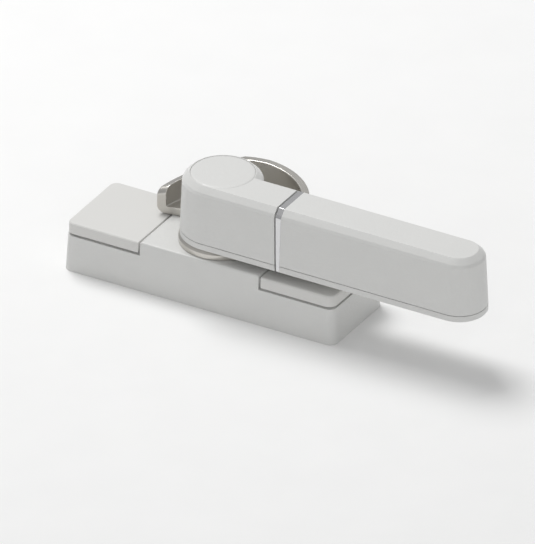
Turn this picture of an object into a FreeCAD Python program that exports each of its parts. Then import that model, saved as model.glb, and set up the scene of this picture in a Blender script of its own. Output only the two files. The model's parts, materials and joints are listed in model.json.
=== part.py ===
"""Sliding window lock: a crescent that a handle swings half a turn over its keeper.

The origin is the spindle's axis on the mounting face. +X runs along the base towards the grip,
+Y towards the keeper and +Z away from the window frame. All lengths are in millimetres.
"""

import FreeCAD, Part
import math
import os
import Sketcher

SIZES = {
    # Die-cast base
    "base_length": 93.8, "base_width": 30.0, "base_height": 16.5, "base_draft": 2.5,
    "base_corner": 2.7, "base_edge": 0.6, "base_wall": 1.8, "top_plate": 3.0,
    "ledge_drop": 4.55, "rib": 1.4,
    # End covers
    "cover_start": 21.2, "cover_slot": 0.65, "cover_drop": 0.3, "cover_skin": 1.3,
    "cover_inset": 0.1, "cover_fit": 0.25, "cover_edge": 0.35, "skirt_gap": 0.72,
    "snap_length": 6.0, "snap_height": 0.6, "snap_relief": 0.2,
    # Fixing screws' holes
    "screw_inset": 10.9, "screw_bore_r": 2.65, "screw_seat_z": 5.0, "well_r": 5.2,
    # Spindle and its bearing
    "journal_r": 5.0, "journal_fit": 0.06, "square": 7.0, "square_fit": 0.05,
    "bearing_drop": 5.5, "bearing_r": 8.6, "neck_length": 1.7, "neck_r": 3.4,
    "ring_groove_r": 2.7, "ring_groove": 0.7, "square_short": 0.2,
    # Washers, springs and detent
    "thrust_r": 9.0, "thrust_depth": 1.0, "thrust_proud": 0.1, "washer_fit": 0.15,
    "lower_washer": 0.5, "lower_washer_r": 8.4, "run_gap": 0.05,
    "disc_sheet": 0.4, "disc_rise": 0.35, "disc_r": 8.2,
    "cam_r": 9.0, "cam_flat": 8.75, "cam_thick": 3.0,
    "ring_r": 5.6, "ring_thick": 0.6, "ring_mouth": 3.8,
    "leaf_thick": 0.5, "leaf_width": 2.6, "leaf_half": 14.5,
    "leaf_seat": 3.0, "seat_wall": 0.8,
    # Stop pin and its slot in the crescent
    "stop_orbit": 11.1, "stop_r": 1.25, "stop_play": 0.3, "stop_height": 1.3,
    "stop_slot": 1.45, "pin_fit": 0.02,
    # Crescent
    "hub_gap": 0.15, "hub_r": 13.4, "hub_edge": 0.9, "hub_bevel": 45.0, "hook_floor": 2.43,
    "hook_r": 26.0, "hook_wall": 2.42, "hook_height": 14.65, "hook_turn": 2.3,
    "lead_pull_outer": 0.7, "lead_pull_inner": 1.05,
    "lead_y": 4.7, "lead_x": 20.0, "lead_angle": 10.0, "lead_round": 2.4, "tail_y": 4.8,
    "ramp_start": 1.4, "ease_length": 8.1, "ease_drop": 0.6, "ramp_angle": 18.3,
    # Handle: head, arm, collar and grip share one section
    "handle_gap": 0.02, "head_r": 13.0, "handle_height": 20.6, "handle_draft": 2.4,
    "handle_strip": 2.0, "arm_width": 17.25, "crown": 2.05, "crown_ease": 0.58,
    "head_floor": 5.0, "head_well_r": 6.6,
    "arm_end": 25.3, "arm_lean": 0.6, "groove": 0.5, "collar_end": 27.0, "collar_lean": 0.2,
    "grip_end": 93.0, "grip_end_flat": 0.65,
    # Tang and grip screw
    "tang_width": 10.8, "tang_height": 13.5, "tang_rise": 2.9, "tang_end": 82.0,
    "tang_fit": 0.1, "tang_spare": 0.5, "tang_flange": 2.2, "tang_web": 3.6,
    "tang_boss": 9.0, "tang_root": 22.0,
    "grip_screw_x": 62.0, "grip_screw_r": 1.5, "grip_screw_head_r": 2.8,
    "grip_screw_head": 1.5, "grip_screw_sink": 1.8, "grip_screw_length": 7.5,
    "screw_clear": 0.15, "recess_width": 0.6, "recess_depth": 1.0,
    # Cap and head screw
    "cap_r": 9.92, "cap_fit": 0.03, "cap_proud": 0.1, "cap_thick": 1.15, "cap_bevel": 0.2,
    "cap_ring": 0.8, "cap_ring_drop": 2.0, "cap_ring_fit": 0.1,
    "head_screw_r": 2.0, "head_screw_head_r": 3.5, "head_screw_head": 2.6,
    "head_screw_length": 11.0, "thread_spare": 1.0, "head_washer": 0.8,
    "head_washer_r": 6.2, "spring_washer": 1.0, "spring_washer_r": 3.6,
    "spring_washer_slit": 0.8,
    # Dowels between crescent and head
    "dowel_r": 1.25, "dowel_orbit": 9.0, "dowel_angle": 50.0, "dowel_length": 5.3,
    "dowel_foot": 0.15, "dowel_spare": 0.2,
    # How far a sketch runs into the next piece of metal, past an end cut later, or well clear
    "over": 1.0, "stock": 5.0, "far": 60.0,
}

# Heights and widths that follow from the sizes, as text for the sheet's expressions.
TAN_BASE = "tan(Sizes.base_draft)"
SCREW_X = "(Sizes.base_length / 2 - Sizes.screw_inset)"
BLOCK_END = "(Sizes.cover_start - Sizes.cover_slot)"
LEDGE_Z = "(Sizes.base_height - Sizes.ledge_drop)"
COVER_TOP_Z = "(Sizes.base_height - Sizes.cover_drop)"
SKIRT_Z = f"({LEDGE_Z} + Sizes.skirt_gap)"
COVER_SETBACK = f"({SKIRT_Z} * {TAN_BASE} + Sizes.cover_inset)"
PLINTH_SETBACK = f"({COVER_SETBACK} + Sizes.cover_skin + Sizes.cover_fit)"
PLINTH_Z = f"({COVER_TOP_Z} - Sizes.cover_skin)"
CAVITY_SETBACK = f"(Sizes.base_wall + Sizes.base_height * {TAN_BASE})"
CAVITY_Z = "(Sizes.base_height - Sizes.top_plate)"
END_CAVITY_Z = f"({LEDGE_Z} - Sizes.base_wall)"
HUB_Z = "(Sizes.base_height + Sizes.hub_gap)"
HUB_TOP = f"({HUB_Z} + Sizes.hook_floor)"
HANDLE_Z = f"({HUB_TOP} + Sizes.handle_gap)"
STRIP_Z = f"({HANDLE_Z} + Sizes.handle_strip)"
HEAD_FLOOR_Z = f"({HANDLE_Z} + Sizes.head_floor)"
HANDLE_TOP_Z = f"({HANDLE_Z} + Sizes.handle_height)"
CAP_SEAT_Z = f"({HANDLE_TOP_Z} + Sizes.cap_proud - Sizes.cap_thick)"
BEARING_Z = "(Sizes.base_height - Sizes.bearing_drop)"
WASHER_FOOT_Z = f"({BEARING_Z} - Sizes.lower_washer)"
DISC_TOP_Z = f"({WASHER_FOOT_Z} - Sizes.run_gap)"
CAM_TOP_Z = f"({DISC_TOP_Z} - Sizes.disc_sheet - Sizes.disc_rise)"
CAM_Z = f"({CAM_TOP_Z} - Sizes.cam_thick)"
TURN_CUT = "(Sizes.hook_turn * (2 - sqrt(2)))"
TURN_EASE = "(Sizes.hook_turn * (tan(22.5) - tan(11.25)))"
LEAF_Y = "(Sizes.cam_r + Sizes.run_gap)"
LEAF_Z = f"({CAM_Z} + (Sizes.cam_thick - Sizes.leaf_width) / 2)"
ARM_FAR_Y = "(Sizes.arm_width - Sizes.head_r)"
ARM_MID_Y = "(Sizes.arm_width / 2 - Sizes.head_r)"
TANG_Z = f"({HANDLE_Z} + Sizes.tang_rise)"
CLAMP_Z = f"({HEAD_FLOOR_Z} + Sizes.head_washer)"
SCREW_HEAD_Z = f"({CLAMP_Z} + Sizes.spring_washer)"
DOWEL_Z = f"({HUB_Z} + Sizes.dowel_foot)"
DOWEL_X = "(-Sizes.dowel_orbit * cos(Sizes.dowel_angle))"
DOWEL_Y = "(Sizes.dowel_orbit * sin(Sizes.dowel_angle))"
GRIP_ROUND = "((Sizes.arm_width - Sizes.grip_end_flat) / 2)"

# A length, a volume or a slope smaller than this is nothing.
NEAR = 0.001

doc = FreeCAD.newDocument("window_lock")
sheet = doc.addObject("Spreadsheet::Sheet", "Sizes")
for row, (alias, value) in enumerate(SIZES.items(), start=1):
    sheet.set(f"A{row}", alias)
    sheet.set(f"B{row}", str(value))
    sheet.setAlias(f"B{row}", alias)
doc.recompute()


def mm(amount):
    """An expression's present value as a number."""
    return float(sheet.evalExpression(amount))


def new_body(label):
    """An empty body whose label names its file."""
    body = doc.addObject("PartDesign::Body", label)
    body.Label = label
    return body


def sketch_on(body, name, plane="XY_Plane", lift="0"):
    """A sketch on one of the body's own origin planes, moved along its normal by lift."""
    sketch = body.newObject("Sketcher::SketchObject", name)
    base = [feature for feature in body.Origin.OriginFeatures if feature.Role == plane][0]
    sketch.AttachmentSupport = [(base, "")]
    sketch.MapMode = "FlatFace"
    sketch.setExpression("AttachmentOffset.Base.z", lift)
    return sketch


def hold(sketch, kind, element, vertex, amount):
    """Tie one coordinate of a point to an expression."""
    number = sketch.addConstraint(Sketcher.Constraint(kind, -1, 1, element, vertex, 1.0))
    sketch.renameConstraint(number, f"c{number}")
    sketch.setExpression(f"Constraints.c{number}", amount)


def corners(sketch, points):
    """A closed outline through points, each a pair of expressions."""
    first = sketch.GeometryCount
    count = len(points)
    spots = [FreeCAD.Vector(math.cos(turn), math.sin(turn), 0)
             for turn in (2 * math.pi * k / count for k in range(count))]
    for k in range(count):
        sketch.addGeometry(Part.LineSegment(spots[k], spots[(k + 1) % count]), False)
    for k in range(count):
        following = first + (k + 1) % count
        sketch.addConstraint(Sketcher.Constraint("Coincident", first + k, 2, following, 1))
    for k, (across, up) in enumerate(points):
        hold(sketch, "DistanceX", first + k, 1, across)
        hold(sketch, "DistanceY", first + k, 1, up)


def rectangle(sketch, low_x, high_x, low_y, high_y):
    """An upright rectangle between four expressions."""
    corners(sketch, [(low_x, low_y), (high_x, low_y), (high_x, high_y), (low_x, high_y)])


def circle(sketch, radius, x="0", y="0"):
    """A circle with its radius and centre held by expressions."""
    number = sketch.addGeometry(Part.Circle(FreeCAD.Vector(1, 1, 0), FreeCAD.Vector(0, 0, 1), 1.0))
    bound = sketch.addConstraint(Sketcher.Constraint("Radius", number, 1.0))
    sketch.renameConstraint(bound, f"c{bound}")
    sketch.setExpression(f"Constraints.c{bound}", radius)
    hold(sketch, "DistanceX", number, 3, x)
    hold(sketch, "DistanceY", number, 3, y)


def pad(body, sketch, length, bevel=None, both=False):
    """Raise a sketch by length, leaning inwards by bevel degrees."""
    feature = body.newObject("PartDesign::Pad", "Pad")
    feature.Profile = sketch
    feature.setExpression("Length", length)
    if bevel:
        feature.setExpression("TaperAngle", f"-{bevel}")
    feature.Midplane = both
    doc.recompute()


def drafted(body, angle, footprint):
    """Lean the body's upright walls inwards from its footprint sketch's plane."""
    last = body.Tip
    names = []
    for k, face in enumerate(last.Shape.Faces, start=1):
        low_u, _, low_v, _ = face.ParameterRange
        if abs(face.normalAt(low_u, low_v).z) < NEAR:
            names.append(f"Face{k}")
    feature = body.newObject("PartDesign::Draft", "Draft")
    feature.Base = (last, names)
    feature.NeutralPlane = (footprint, [""])
    feature.setExpression("Angle", angle)
    doc.recompute()


def pocket(body, sketch, length, upwards=False, both=False):
    """Cut a sketch into the body, against its normal unless upwards is set."""
    before = body.Shape.Volume
    feature = body.newObject("PartDesign::Pocket", "Pocket")
    feature.Profile = sketch
    feature.setExpression("Length", length)
    feature.Reversed = upwards
    feature.Midplane = both
    doc.recompute()
    if body.Shape.Volume > before - NEAR:
        raise SystemExit(f"{body.Label}: {sketch.Label} cuts nothing")


def turned(body, sketch, kind="PartDesign::Revolution", angle=360):
    """Turn a sketch about its vertical axis, which is the spindle's."""
    feature = body.newObject(kind, "Turned")
    feature.Profile = sketch
    feature.ReferenceAxis = (sketch, ["V_Axis"])
    feature.Angle = angle
    doc.recompute()


def dress(body, kind, wanted, size, prop="Radius"):
    """Fillet or chamfer the edges of the body's last feature that wanted picks."""
    last = body.Tip
    names = [f"Edge{k}" for k, edge in enumerate(last.Shape.Edges, start=1) if wanted(edge)]
    if not names:
        raise SystemExit(f"{body.Label}: no edge to {kind}")
    feature = body.newObject(kind, "Dressed")
    feature.Base = (last, names)
    feature.setExpression(prop, size)
    doc.recompute()


def fillet(body, wanted, radius):
    dress(body, "PartDesign::Fillet", wanted, radius)


def chamfer(body, wanted, size):
    dress(body, "PartDesign::Chamfer", wanted, size, "Size")


def level(edge, height):
    """Whether an edge lies flat at a height."""
    box = edge.BoundBox
    return abs(box.ZMin - height) < NEAR and abs(box.ZMax - height) < NEAR


def upright(edge):
    """Whether an edge climbs, and strays sideways by less than a third of its rise."""
    box = edge.BoundBox
    return box.ZLength > SIZES["over"] and 3 * max(box.XLength, box.YLength) < box.ZLength


def beyond(edge, axis, value):
    """Whether an edge's middle lies past a value along an axis."""
    middle = edge.valueAt((edge.FirstParameter + edge.LastParameter) / 2)
    return getattr(middle, axis) > value


def ring(label, inner, outer, low, thick):
    """A flat washer about the spindle's axis."""
    body = new_body(label)
    sketch = sketch_on(body, "section", lift=low)
    circle(sketch, outer)
    circle(sketch, inner)
    pad(body, sketch, thick)
    return body


def both_sides(amount):
    """An amount and its opposite."""
    return [amount, f"-({amount})"]


def base_housing():
    """Die-cast tray with a bearing for the spindle and a stepped end for each cover."""
    body = new_body("base_housing")
    half_length = "Sizes.base_length / 2"
    half_width = "Sizes.base_width / 2"
    sketch = sketch_on(body, "footprint")
    rectangle(sketch, f"-{half_length}", half_length, f"-{half_width}", half_width)
    pad(body, sketch, "Sizes.base_height")
    drafted(body, "Sizes.base_draft", sketch)
    fillet(body, upright, "Sizes.base_corner")

    ends = sketch_on(body, "ends", lift="Sizes.base_height")
    for sign in ("", "-"):
        rectangle(ends, f"{sign}{BLOCK_END}", f"{sign}({half_length} + Sizes.over)",
                  f"-({half_width} + Sizes.over)", f"{half_width} + Sizes.over")
    pocket(body, ends, "Sizes.ledge_drop")
    top = SIZES["base_height"]
    fillet(body, lambda edge: level(edge, top), "Sizes.base_edge")

    plinths = sketch_on(body, "plinths", lift=END_CAVITY_Z)
    for sign in ("", "-"):
        rectangle(plinths, f"{sign}({BLOCK_END} - Sizes.over)", f"{sign}({half_length} - {PLINTH_SETBACK})",
                  f"-({half_width} - {PLINTH_SETBACK})", f"{half_width} - {PLINTH_SETBACK}")
    pad(body, plinths, f"{PLINTH_Z} - {END_CAVITY_Z}")
    snaps = sketch_on(body, "snaps", "XZ_Plane")
    snap_mid = f"(({SKIRT_Z} + {PLINTH_Z}) / 2)"
    for side in both_sides(SCREW_X):
        rectangle(snaps, f"{side} - Sizes.snap_length / 2", f"{side} + Sizes.snap_length / 2",
                  f"{snap_mid} - Sizes.snap_height / 2", f"{snap_mid} + Sizes.snap_height / 2")
    pad(body, snaps, f"Sizes.base_width - 2 * {PLINTH_SETBACK} + 2 * Sizes.snap_relief", both=True)

    cavity = sketch_on(body, "cavity")
    inner_x = f"({half_length} - {CAVITY_SETBACK})"
    inner_y = f"({half_width} - {CAVITY_SETBACK})"
    rectangle(cavity, f"-{inner_x}", inner_x, f"-{inner_y}", inner_y)
    pocket(body, cavity, END_CAVITY_Z, upwards=True)
    chamber = sketch_on(body, "chamber")
    chamber_x = f"({BLOCK_END} - Sizes.base_wall)"
    rectangle(chamber, f"-{chamber_x}", chamber_x, f"-{inner_y}", inner_y)
    pocket(body, chamber, CAVITY_Z, upwards=True)

    bosses = sketch_on(body, "bosses")
    for side in both_sides(SCREW_X):
        circle(bosses, "Sizes.well_r + Sizes.base_wall", side)
    pad(body, bosses, PLINTH_Z)
    ribs = sketch_on(body, "ribs")
    for sign in ("", "-"):
        rectangle(ribs, f"{sign}({SCREW_X} + Sizes.well_r)", f"{sign}({inner_x} + Sizes.over)",
                  "-Sizes.rib / 2", "Sizes.rib / 2")
        rectangle(ribs, f"{sign}{SCREW_X} - Sizes.rib / 2", f"{sign}{SCREW_X} + Sizes.rib / 2",
                  "Sizes.well_r", f"{inner_y} + Sizes.over")
        rectangle(ribs, f"{sign}{SCREW_X} - Sizes.rib / 2", f"{sign}{SCREW_X} + Sizes.rib / 2",
                  f"-({inner_y} + Sizes.over)", "-Sizes.well_r")
    pad(body, ribs, END_CAVITY_Z)

    bearing = sketch_on(body, "bearing", lift=BEARING_Z)
    circle(bearing, "Sizes.bearing_r")
    pad(body, bearing, "Sizes.bearing_drop - Sizes.thrust_depth")
    seats = sketch_on(body, "spring_seats", lift=LEAF_Z)
    for along in both_sides("Sizes.leaf_half"):
        for sign in ("", "-"):
            rectangle(seats, f"{along} - Sizes.leaf_seat / 2", f"{along} + Sizes.leaf_seat / 2",
                      f"{sign}({LEAF_Y} - Sizes.seat_wall)", f"{sign}({inner_y} + Sizes.over)")
    pad(body, seats, f"{CAVITY_Z} - {LEAF_Z} + Sizes.over")
    slits = sketch_on(body, "spring_slits", lift=LEAF_Z)
    for end in ("", "-"):
        for sign in ("", "-"):
            rectangle(slits, f"{end}(Sizes.leaf_half - Sizes.leaf_seat)",
                      f"{end}(Sizes.leaf_half + Sizes.run_gap)",
                      f"{sign}({LEAF_Y} - Sizes.run_gap)",
                      f"{sign}({LEAF_Y} + Sizes.leaf_thick + Sizes.run_gap)")
    pocket(body, slits, "Sizes.leaf_width + Sizes.run_gap", upwards=True)

    wells = sketch_on(body, "wells", lift=PLINTH_Z)
    bores = sketch_on(body, "bores", lift="Sizes.screw_seat_z + Sizes.over")
    for side in both_sides(SCREW_X):
        circle(wells, "Sizes.well_r", side)
        circle(bores, "Sizes.screw_bore_r", side)
    pocket(body, wells, f"{PLINTH_Z} - Sizes.screw_seat_z")
    pocket(body, bores, "Sizes.screw_seat_z + 2 * Sizes.over")
    recess = sketch_on(body, "washer_recess", lift="Sizes.base_height")
    circle(recess, "Sizes.thrust_r + Sizes.run_gap")
    pocket(body, recess, "Sizes.thrust_depth")
    holes = sketch_on(body, "pivot_and_pin", lift="Sizes.base_height")
    circle(holes, "Sizes.journal_r + Sizes.journal_fit")
    circle(holes, "Sizes.stop_r + Sizes.pin_fit", "0", "-Sizes.stop_orbit")
    pocket(body, holes, "Sizes.base_height")


def end_cover(label, turn):
    """Clip-on lid over one screw well, open towards the block in the middle."""
    body = new_body(label)
    end = f"(Sizes.base_length / 2 - {COVER_SETBACK})"
    side = f"(Sizes.base_width / 2 - {COVER_SETBACK})"
    blank = sketch_on(body, "blank", lift=SKIRT_Z)
    rectangle(blank, "0", end, f"-{side}", side)
    pad(body, blank, f"{COVER_TOP_Z} - {SKIRT_Z}")
    drafted(body, "Sizes.base_draft", blank)
    far = SIZES["cover_start"]
    fillet(body, lambda edge: upright(edge) and beyond(edge, "x", far),
           "Sizes.base_corner - Sizes.cover_inset")
    top = mm(COVER_TOP_Z)
    chamfer(body, lambda edge: level(edge, top) and beyond(edge, "x", SIZES["over"]),
            "Sizes.cover_edge")
    start = sketch_on(body, "start", "XZ_Plane")
    rectangle(start, "-Sizes.base_length", "Sizes.cover_start", "0", "2 * Sizes.base_height")
    pocket(body, start, "2 * Sizes.base_width", both=True)
    hollow = sketch_on(body, "hollow", lift=SKIRT_Z)
    inner_side = f"({side} - Sizes.cover_skin)"
    rectangle(hollow, "0", f"{end} - Sizes.cover_skin", f"-{inner_side}", inner_side)
    pocket(body, hollow, f"{PLINTH_Z} - {SKIRT_Z}", upwards=True)
    body.Placement = FreeCAD.Placement(FreeCAD.Vector(), FreeCAD.Rotation(turn, 0, 0))


def thrust_washer():
    ring("thrust_washer", "Sizes.journal_r + Sizes.washer_fit", "Sizes.thrust_r",
         "Sizes.base_height - Sizes.thrust_depth", "Sizes.thrust_depth + Sizes.thrust_proud")


def lower_washer():
    ring("lower_washer", "Sizes.journal_r + Sizes.washer_fit", "Sizes.lower_washer_r",
         WASHER_FOOT_Z, "Sizes.lower_washer")


def stop_pin():
    body = new_body("stop_pin")
    sketch = sketch_on(body, "section", lift=CAVITY_Z)
    circle(sketch, "Sizes.stop_r", "0", "-Sizes.stop_orbit")
    pad(body, sketch, "Sizes.top_plate + Sizes.stop_height")


def detent_spring(label, sign):
    """Flat leaf that bears on the cam, with its ends in the housing's slits."""
    body = new_body(label)
    sketch = sketch_on(body, "strip", lift=LEAF_Z)
    rectangle(sketch, "-Sizes.leaf_half", "Sizes.leaf_half",
              f"{sign}{LEAF_Y}", f"{sign}({LEAF_Y} + Sizes.leaf_thick)")
    pad(body, sketch, "Sizes.leaf_width")


def pivot_spindle():
    """Steel spindle: a journal between two squares, with a groove for its ring."""
    body = new_body("pivot_spindle")
    neck = sketch_on(body, "neck", lift=f"{CAM_Z} - Sizes.neck_length")
    circle(neck, "Sizes.neck_r")
    pad(body, neck, "Sizes.neck_length + Sizes.over")
    half = "Sizes.square / 2"
    lower = sketch_on(body, "lower_square", lift=CAM_Z)
    rectangle(lower, f"-{half}", half, f"-{half}", half)
    pad(body, lower, "Sizes.cam_thick")
    journal = sketch_on(body, "journal", lift=CAM_TOP_Z)
    circle(journal, "Sizes.journal_r")
    pad(body, journal, f"{HUB_Z} - {CAM_TOP_Z}")
    upper = sketch_on(body, "upper_square", lift=HUB_Z)
    rectangle(upper, f"-{half}", half, f"-{half}", half)
    pad(body, upper, f"{HEAD_FLOOR_Z} - Sizes.square_short - {HUB_Z}")
    groove = sketch_on(body, "ring_groove", lift=CAM_Z)
    circle(groove, "Sizes.journal_r")
    circle(groove, "Sizes.ring_groove_r")
    pocket(body, groove, "Sizes.ring_groove")
    thread = sketch_on(body, "thread", lift=HEAD_FLOOR_Z)
    circle(thread, "Sizes.head_screw_r + Sizes.pin_fit")
    pocket(body, thread, "Sizes.head_screw_length + Sizes.thread_spare")


def detent_cam():
    """Round plate with two flats, which the leaf springs find at each end of the turn."""
    body = new_body("detent_cam")
    plate = sketch_on(body, "plate", lift=CAM_Z)
    circle(plate, "Sizes.cam_r")
    pad(body, plate, "Sizes.cam_thick")
    cuts = sketch_on(body, "flats", lift=CAM_TOP_Z)
    for sign in ("", "-"):
        rectangle(cuts, "-Sizes.cam_r", "Sizes.cam_r", f"{sign}Sizes.cam_flat",
                  f"{sign}(Sizes.cam_r + Sizes.over)")
    half = "(Sizes.square + Sizes.square_fit) / 2"
    rectangle(cuts, f"-{half}", half, f"-{half}", half)
    pocket(body, cuts, "Sizes.cam_thick")


def disc_spring():
    """Coned washer between the cam and the lower washer."""
    body = new_body("disc_spring")
    section = sketch_on(body, "section", "XZ_Plane")
    inner = "Sizes.journal_r + Sizes.washer_fit"
    corners(section, [(inner, f"{DISC_TOP_Z} - Sizes.disc_sheet"), ("Sizes.disc_r", CAM_TOP_Z),
                      ("Sizes.disc_r", f"{CAM_TOP_Z} + Sizes.disc_sheet"), (inner, DISC_TOP_Z)])
    turned(body, section)


def retaining_ring():
    """Open ring that snaps into the spindle's groove under the cam."""
    body = ring("retaining_ring", "Sizes.ring_groove_r + Sizes.pin_fit", "Sizes.ring_r",
                f"{CAM_Z} - Sizes.run_gap - Sizes.ring_thick", "Sizes.ring_thick")
    mouth = sketch_on(body, "mouth", lift=CAM_Z)
    rectangle(mouth, "0", "Sizes.ring_r + Sizes.over", "-Sizes.ring_mouth / 2", "Sizes.ring_mouth / 2")
    pocket(body, mouth, "Sizes.cam_thick")


def dowel_holes(sketch, radius):
    """Both dowels' circles."""
    for y in both_sides(DOWEL_Y):
        circle(sketch, radius, DOWEL_X, y)


def spiral(sketch, radius, pull, start_r):
    """A circle whose leading half is smaller by pull, so that it meets the other at the back."""
    vector = FreeCAD.Vector
    up = vector(0, 0, 1)
    sketch.addGeometry(Part.ArcOfCircle(Part.Circle(vector(), up, start_r),
                                        -math.pi / 2, math.pi / 2), False)
    sketch.addGeometry(Part.ArcOfCircle(Part.Circle(vector(0, 1, 0), up, start_r - 1),
                                        math.pi / 2, 1.5 * math.pi), False)
    sketch.addGeometry(Part.LineSegment(vector(0, 2 - start_r, 0), vector(0, -start_r, 0)), False)
    for start, following in ((0, 1), (1, 2), (2, 0)):
        sketch.addConstraint(Sketcher.Constraint("Coincident", start, 2, following, 1))
    sketch.addConstraint(Sketcher.Constraint("Coincident", 0, 3, -1, 1))
    for arc, amount in ((0, radius), (1, f"{radius} - {pull}")):
        bound = sketch.addConstraint(Sketcher.Constraint("Radius", arc, start_r - arc))
        sketch.renameConstraint(bound, f"r{arc}")
        sketch.setExpression(f"Constraints.r{arc}", amount)
    for arc, vertex in ((0, 1), (0, 2), (1, 2), (1, 3)):
        hold(sketch, "DistanceX", arc, vertex, "0")


def crescent_hook():
    """Crescent: hub, floor and an upright wall whose top ramps down to its leading end."""
    body = new_body("crescent_hook")
    disc = sketch_on(body, "disc", lift=HUB_Z)
    spiral(disc, "Sizes.hook_r", "Sizes.lead_pull_outer", SIZES["hook_r"])
    pad(body, disc, "Sizes.hook_height")
    channel = sketch_on(body, "channel", lift=f"{HUB_Z} + Sizes.hook_height")
    spiral(channel, "(Sizes.hook_r - Sizes.hook_wall)", "Sizes.lead_pull_inner",
           SIZES["hook_r"] - SIZES["hook_wall"])
    pocket(body, channel, "Sizes.hook_height - Sizes.hook_floor")
    slope = "tan(Sizes.lead_angle)"
    ends = sketch_on(body, "ends", lift=f"{HUB_Z} + Sizes.hook_height")
    edge = "(2 * Sizes.hook_r)"
    corners(ends, [(f"-{edge}", f"-{edge}"), (edge, f"-{edge}"), (edge, "Sizes.tail_y"),
                   ("0", "Sizes.tail_y"), ("0", f"Sizes.lead_y + Sizes.lead_x * {slope}"),
                   (f"-{edge}", f"Sizes.lead_y + (Sizes.lead_x - {edge}) * {slope}")])
    pocket(body, ends, "Sizes.hook_height + Sizes.over")

    crest = sketch_on(body, "ramp", "XZ_Plane")
    top = f"({HUB_Z} + Sizes.hook_height)"
    fold = "(Sizes.ramp_start - Sizes.ease_length)"
    ramp_foot = f"{top} - Sizes.ease_drop - ({fold} + {edge}) * tan(Sizes.ramp_angle)"
    corners(crest, [("Sizes.ramp_start", top), (fold, f"{top} - Sizes.ease_drop"),
                    (f"-{edge}", ramp_foot), (f"-{edge}", f"{top} + Sizes.over"),
                    ("Sizes.ramp_start", f"{top} + Sizes.over")])
    pocket(body, crest, f"2 * {edge}", both=True)

    low = mm(HUB_Z)
    near_back = SIZES["hook_r"] - 2 * SIZES["hook_turn"]
    chamfer(body, lambda e: level(e, low) and e.BoundBox.YMax > near_back, TURN_CUT)
    cut = mm(TURN_CUT)
    chamfer(body, lambda e: e.BoundBox.YMax > near_back and e.BoundBox.XLength > cut
            and (level(e, low) or level(e, low + cut)), TURN_EASE)
    wall = SIZES["hook_wall"]
    above_floor = mm(HUB_TOP) + wall
    fillet(body, lambda e: e.BoundBox.ZMin > above_floor and e.BoundBox.XMax < -SIZES["lead_x"]
           and e.BoundBox.YLength < wall, "Sizes.lead_round")

    hub = sketch_on(body, "hub", lift=HUB_Z)
    circle(hub, "Sizes.hub_r")
    pad(body, hub, "Sizes.hook_floor - Sizes.hub_edge")
    bevel = sketch_on(body, "hub_bevel", lift=f"{HUB_TOP} - Sizes.hub_edge")
    circle(bevel, "Sizes.hub_r")
    pad(body, bevel, "Sizes.hub_edge", "Sizes.hub_bevel")
    holes = sketch_on(body, "square_and_dowels", lift=HUB_TOP)
    half = "(Sizes.square + Sizes.square_fit) / 2"
    rectangle(holes, f"-{half}", half, f"-{half}", half)
    dowel_holes(holes, "Sizes.dowel_r + Sizes.pin_fit")
    pocket(body, holes, "2 * Sizes.hook_floor")

    slot_half = "(Sizes.stop_r + Sizes.stop_play)"
    section = sketch_on(body, "stop_slot", "YZ_Plane")
    rectangle(section, f"-Sizes.stop_orbit - {slot_half}", f"-Sizes.stop_orbit + {slot_half}",
              f"{HUB_Z} - Sizes.over", f"{HUB_Z} + Sizes.stop_slot")
    turned(body, section, "PartDesign::Groove", 180)
    rounds = sketch_on(body, "slot_ends", lift=HUB_Z)
    for y in both_sides("Sizes.stop_orbit"):
        circle(rounds, slot_half, "0", y)
    pocket(body, rounds, "Sizes.stop_slot", upwards=True)


def crowned(body, outline, wanted):
    """Raise the handle's section from an outline: an upright strip, drafted sides and a crown."""
    sides = sketch_on(body, "sides", lift=STRIP_Z)
    outline(sides)
    pad(body, sides, f"{HANDLE_TOP_Z} - {STRIP_Z}")
    drafted(body, "Sizes.handle_draft", sides)
    top = mm(HANDLE_TOP_Z)
    chamfer(body, lambda edge: level(edge, top) and wanted(edge), "Sizes.crown")
    fold = mm(f"{HANDLE_TOP_Z} - Sizes.crown * cos(Sizes.handle_draft)")
    chamfer(body, lambda edge: level(edge, fold) and wanted(edge), "Sizes.crown_ease")
    strip = sketch_on(body, "strip", lift=HANDLE_Z)
    outline(strip)
    pad(body, strip, "Sizes.handle_strip")


def bar_outline(low_x, high_x):
    """A function that draws the arm's width between two places along X."""
    return lambda sketch: rectangle(sketch, low_x, high_x, "-Sizes.head_r", ARM_FAR_Y)


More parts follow.
